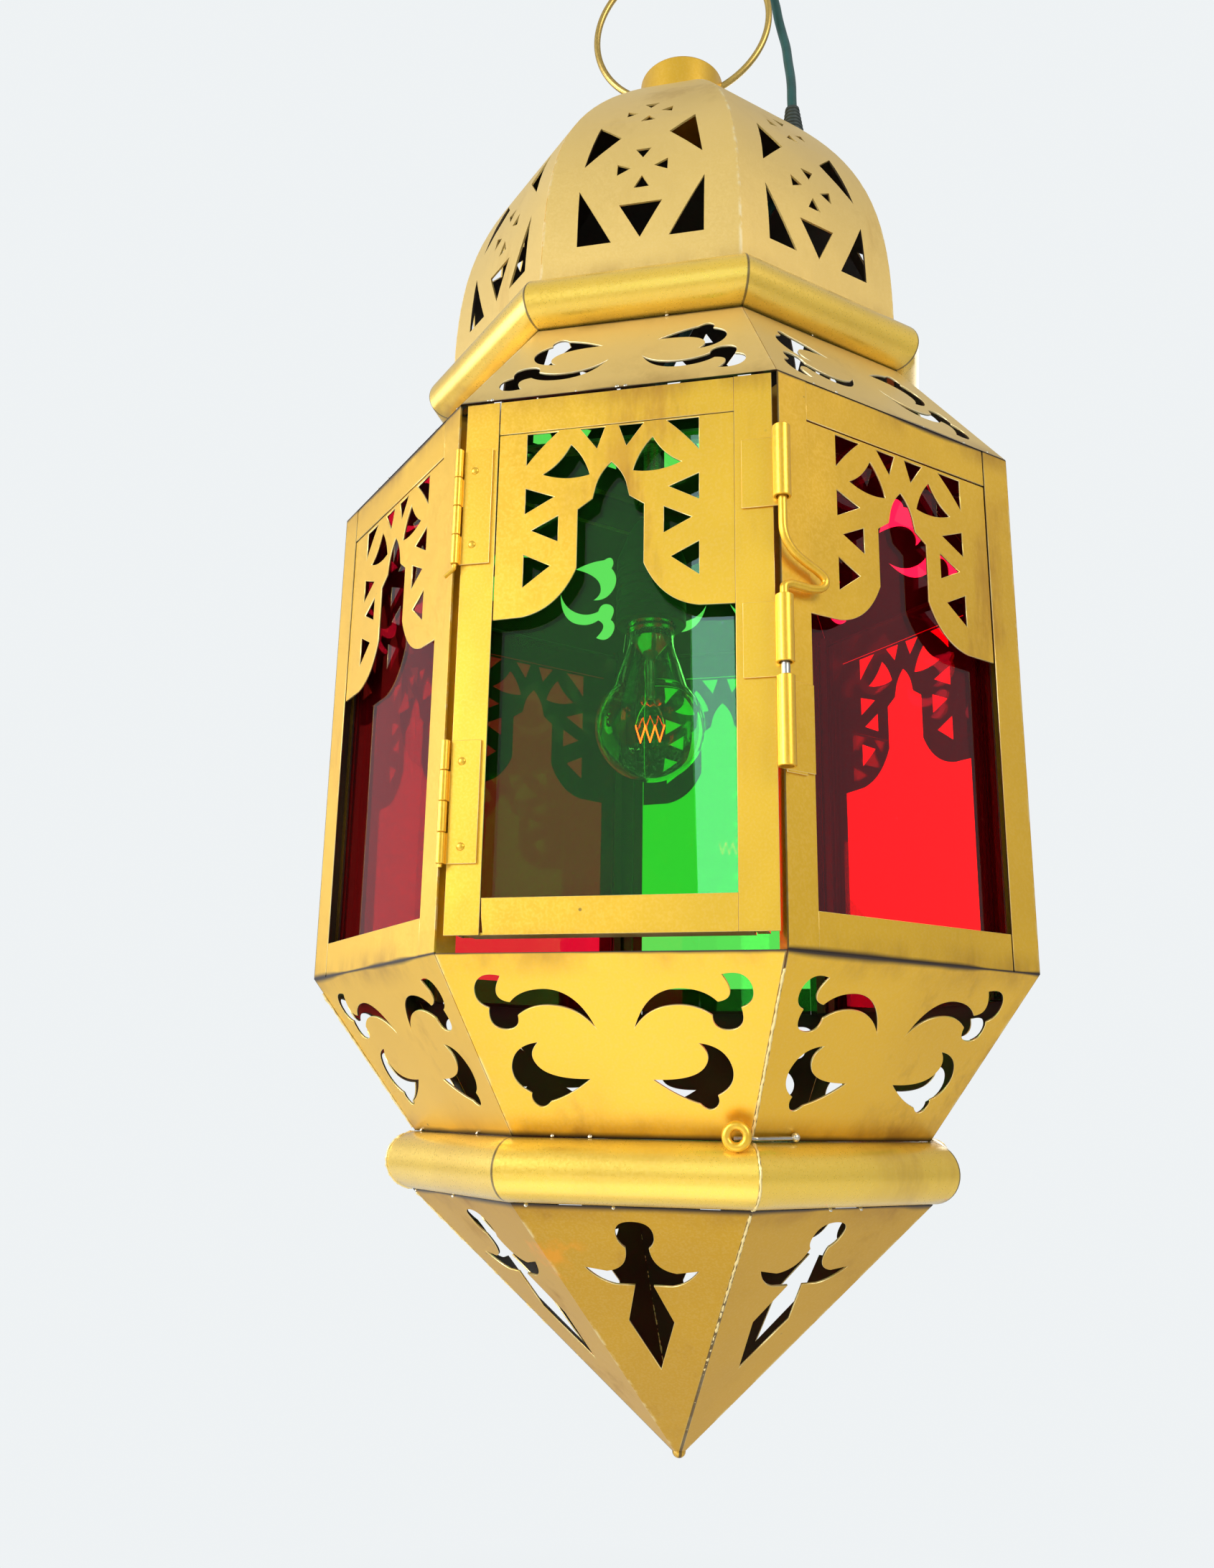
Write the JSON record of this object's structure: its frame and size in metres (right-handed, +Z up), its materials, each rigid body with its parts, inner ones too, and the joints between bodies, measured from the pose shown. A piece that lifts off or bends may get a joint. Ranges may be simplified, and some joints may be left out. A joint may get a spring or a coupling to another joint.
{
  "type": "hanging lantern",
  "caption": "Eight-sided pierced metal lantern with a domed top, coloured glass panes, a hinged door with a sliding bolt and a lamp inside, hung by a ring from a ceiling hook.",
  "frame": {"origin": "centre of the ceiling rose's flat upper face, on the lantern's vertical axis", "axes": "+Z up, out of the ceiling face; the door faces -Y, its hinges on the -X side; +X to the right of the door"},
  "size_m": [0.34, 0.3477, 0.9306],
  "materials": {
    "gold_paint": "satin gold paint on thin sheet steel, darker at folds and seams",
    "pale_gold_paint": "paler, duller gold paint on thin sheet steel",
    "bare_steel": "plain zinc-plated steel",
    "red_glass": "smooth red window glass",
    "green_glass": "smooth green window glass",
    "clear_glass": "clear blown glass of the bulb",
    "filament_wire": "glowing lamp filament on its glass stem",
    "bulb_cap_metal": "bright pressed lamp cap",
    "dark_plastic": "dark moulded plastic",
    "cord_sheath": "smooth dark green flex sheath"
  },
  "bodies": {
    "hanger": {"ceiling_rose": "dark_plastic", "ceiling_hook": "bare_steel", "hanging_ring": "gold_paint"},
    "lantern": {"wall_frame_1": "gold_paint", "wall_frame_2": "gold_paint", "wall_frame_3": "gold_paint", "wall_frame_4": "gold_paint", "wall_frame_5": "gold_paint", "wall_frame_6": "gold_paint", "wall_frame_7": "gold_paint", "wall_pane_1": "red_glass", "wall_pane_2": "green_glass", "wall_pane_3": "red_glass", "wall_pane_4": "green_glass", "wall_pane_5": "red_glass", "wall_pane_6": "green_glass", "wall_pane_7": "red_glass", "skirt_panel_0": "pale_gold_paint", "skirt_panel_1": "pale_gold_paint", "skirt_panel_2": "pale_gold_paint", "skirt_panel_3": "pale_gold_paint", "skirt_panel_4": "pale_gold_paint", "skirt_panel_5": "pale_gold_paint", "skirt_panel_6": "pale_gold_paint", "skirt_panel_7": "pale_gold_paint", "frustum_panel_0": "gold_paint", "frustum_panel_1": "gold_paint", "frustum_panel_2": "gold_paint", "frustum_panel_3": "gold_paint", "frustum_panel_4": "gold_paint", "frustum_panel_5": "gold_paint", "frustum_panel_6": "gold_paint", "frustum_panel_7": "gold_paint", "dome_shell_0": "pale_gold_paint", "dome_shell_2": "pale_gold_paint", "dome_shell_4": "pale_gold_paint", "dome_shell_6": "pale_gold_paint", "upper_roll": "gold_paint", "lower_roll": "gold_paint", "bottom_cone": "gold_paint", "knob_cap": "gold_paint", "upper_hinge_post": "gold_paint", "lower_hinge_post": "gold_paint", "bolt_keeper": "gold_paint", "seam_eye": "gold_paint", "holder_bracket": "bare_steel", "lampholder": "dark_plastic", "bulb_cap": "bulb_cap_metal", "bulb_glass": "clear_glass", "bulb_filament": "filament_wire", "mains_cord": "cord_sheath", "cord_gland": "dark_plastic"},
    "door": {"door_frame": "gold_paint", "door_pane": "green_glass", "upper_hinge_leaf": "gold_paint", "lower_hinge_leaf": "gold_paint", "upper_bolt_guide": "gold_paint", "lower_bolt_guide": "gold_paint"},
    "latch_bolt": {"latch_bolt": "gold_paint"}
  },
  "joints": [
    {"name": "lantern_swing", "type": "hinge", "parent": "hanger", "child": "lantern", "pos_m": [0, 0, -0.1603], "axis": [1, 0, 0], "range_deg": [-20, 20], "deforming": ["mains_cord"]},
    {"name": "door_swing", "type": "hinge", "parent": "lantern", "child": "door", "pos_m": [-0.069, -0.17219, -0.584], "axis": [0, 0, -1], "range_deg": [0, 110]},
    {"name": "bolt_slide", "type": "slide", "parent": "door", "child": "latch_bolt", "axis": [0, 0, 1], "range_m": [-0.003, 0.011]}
  ]
}
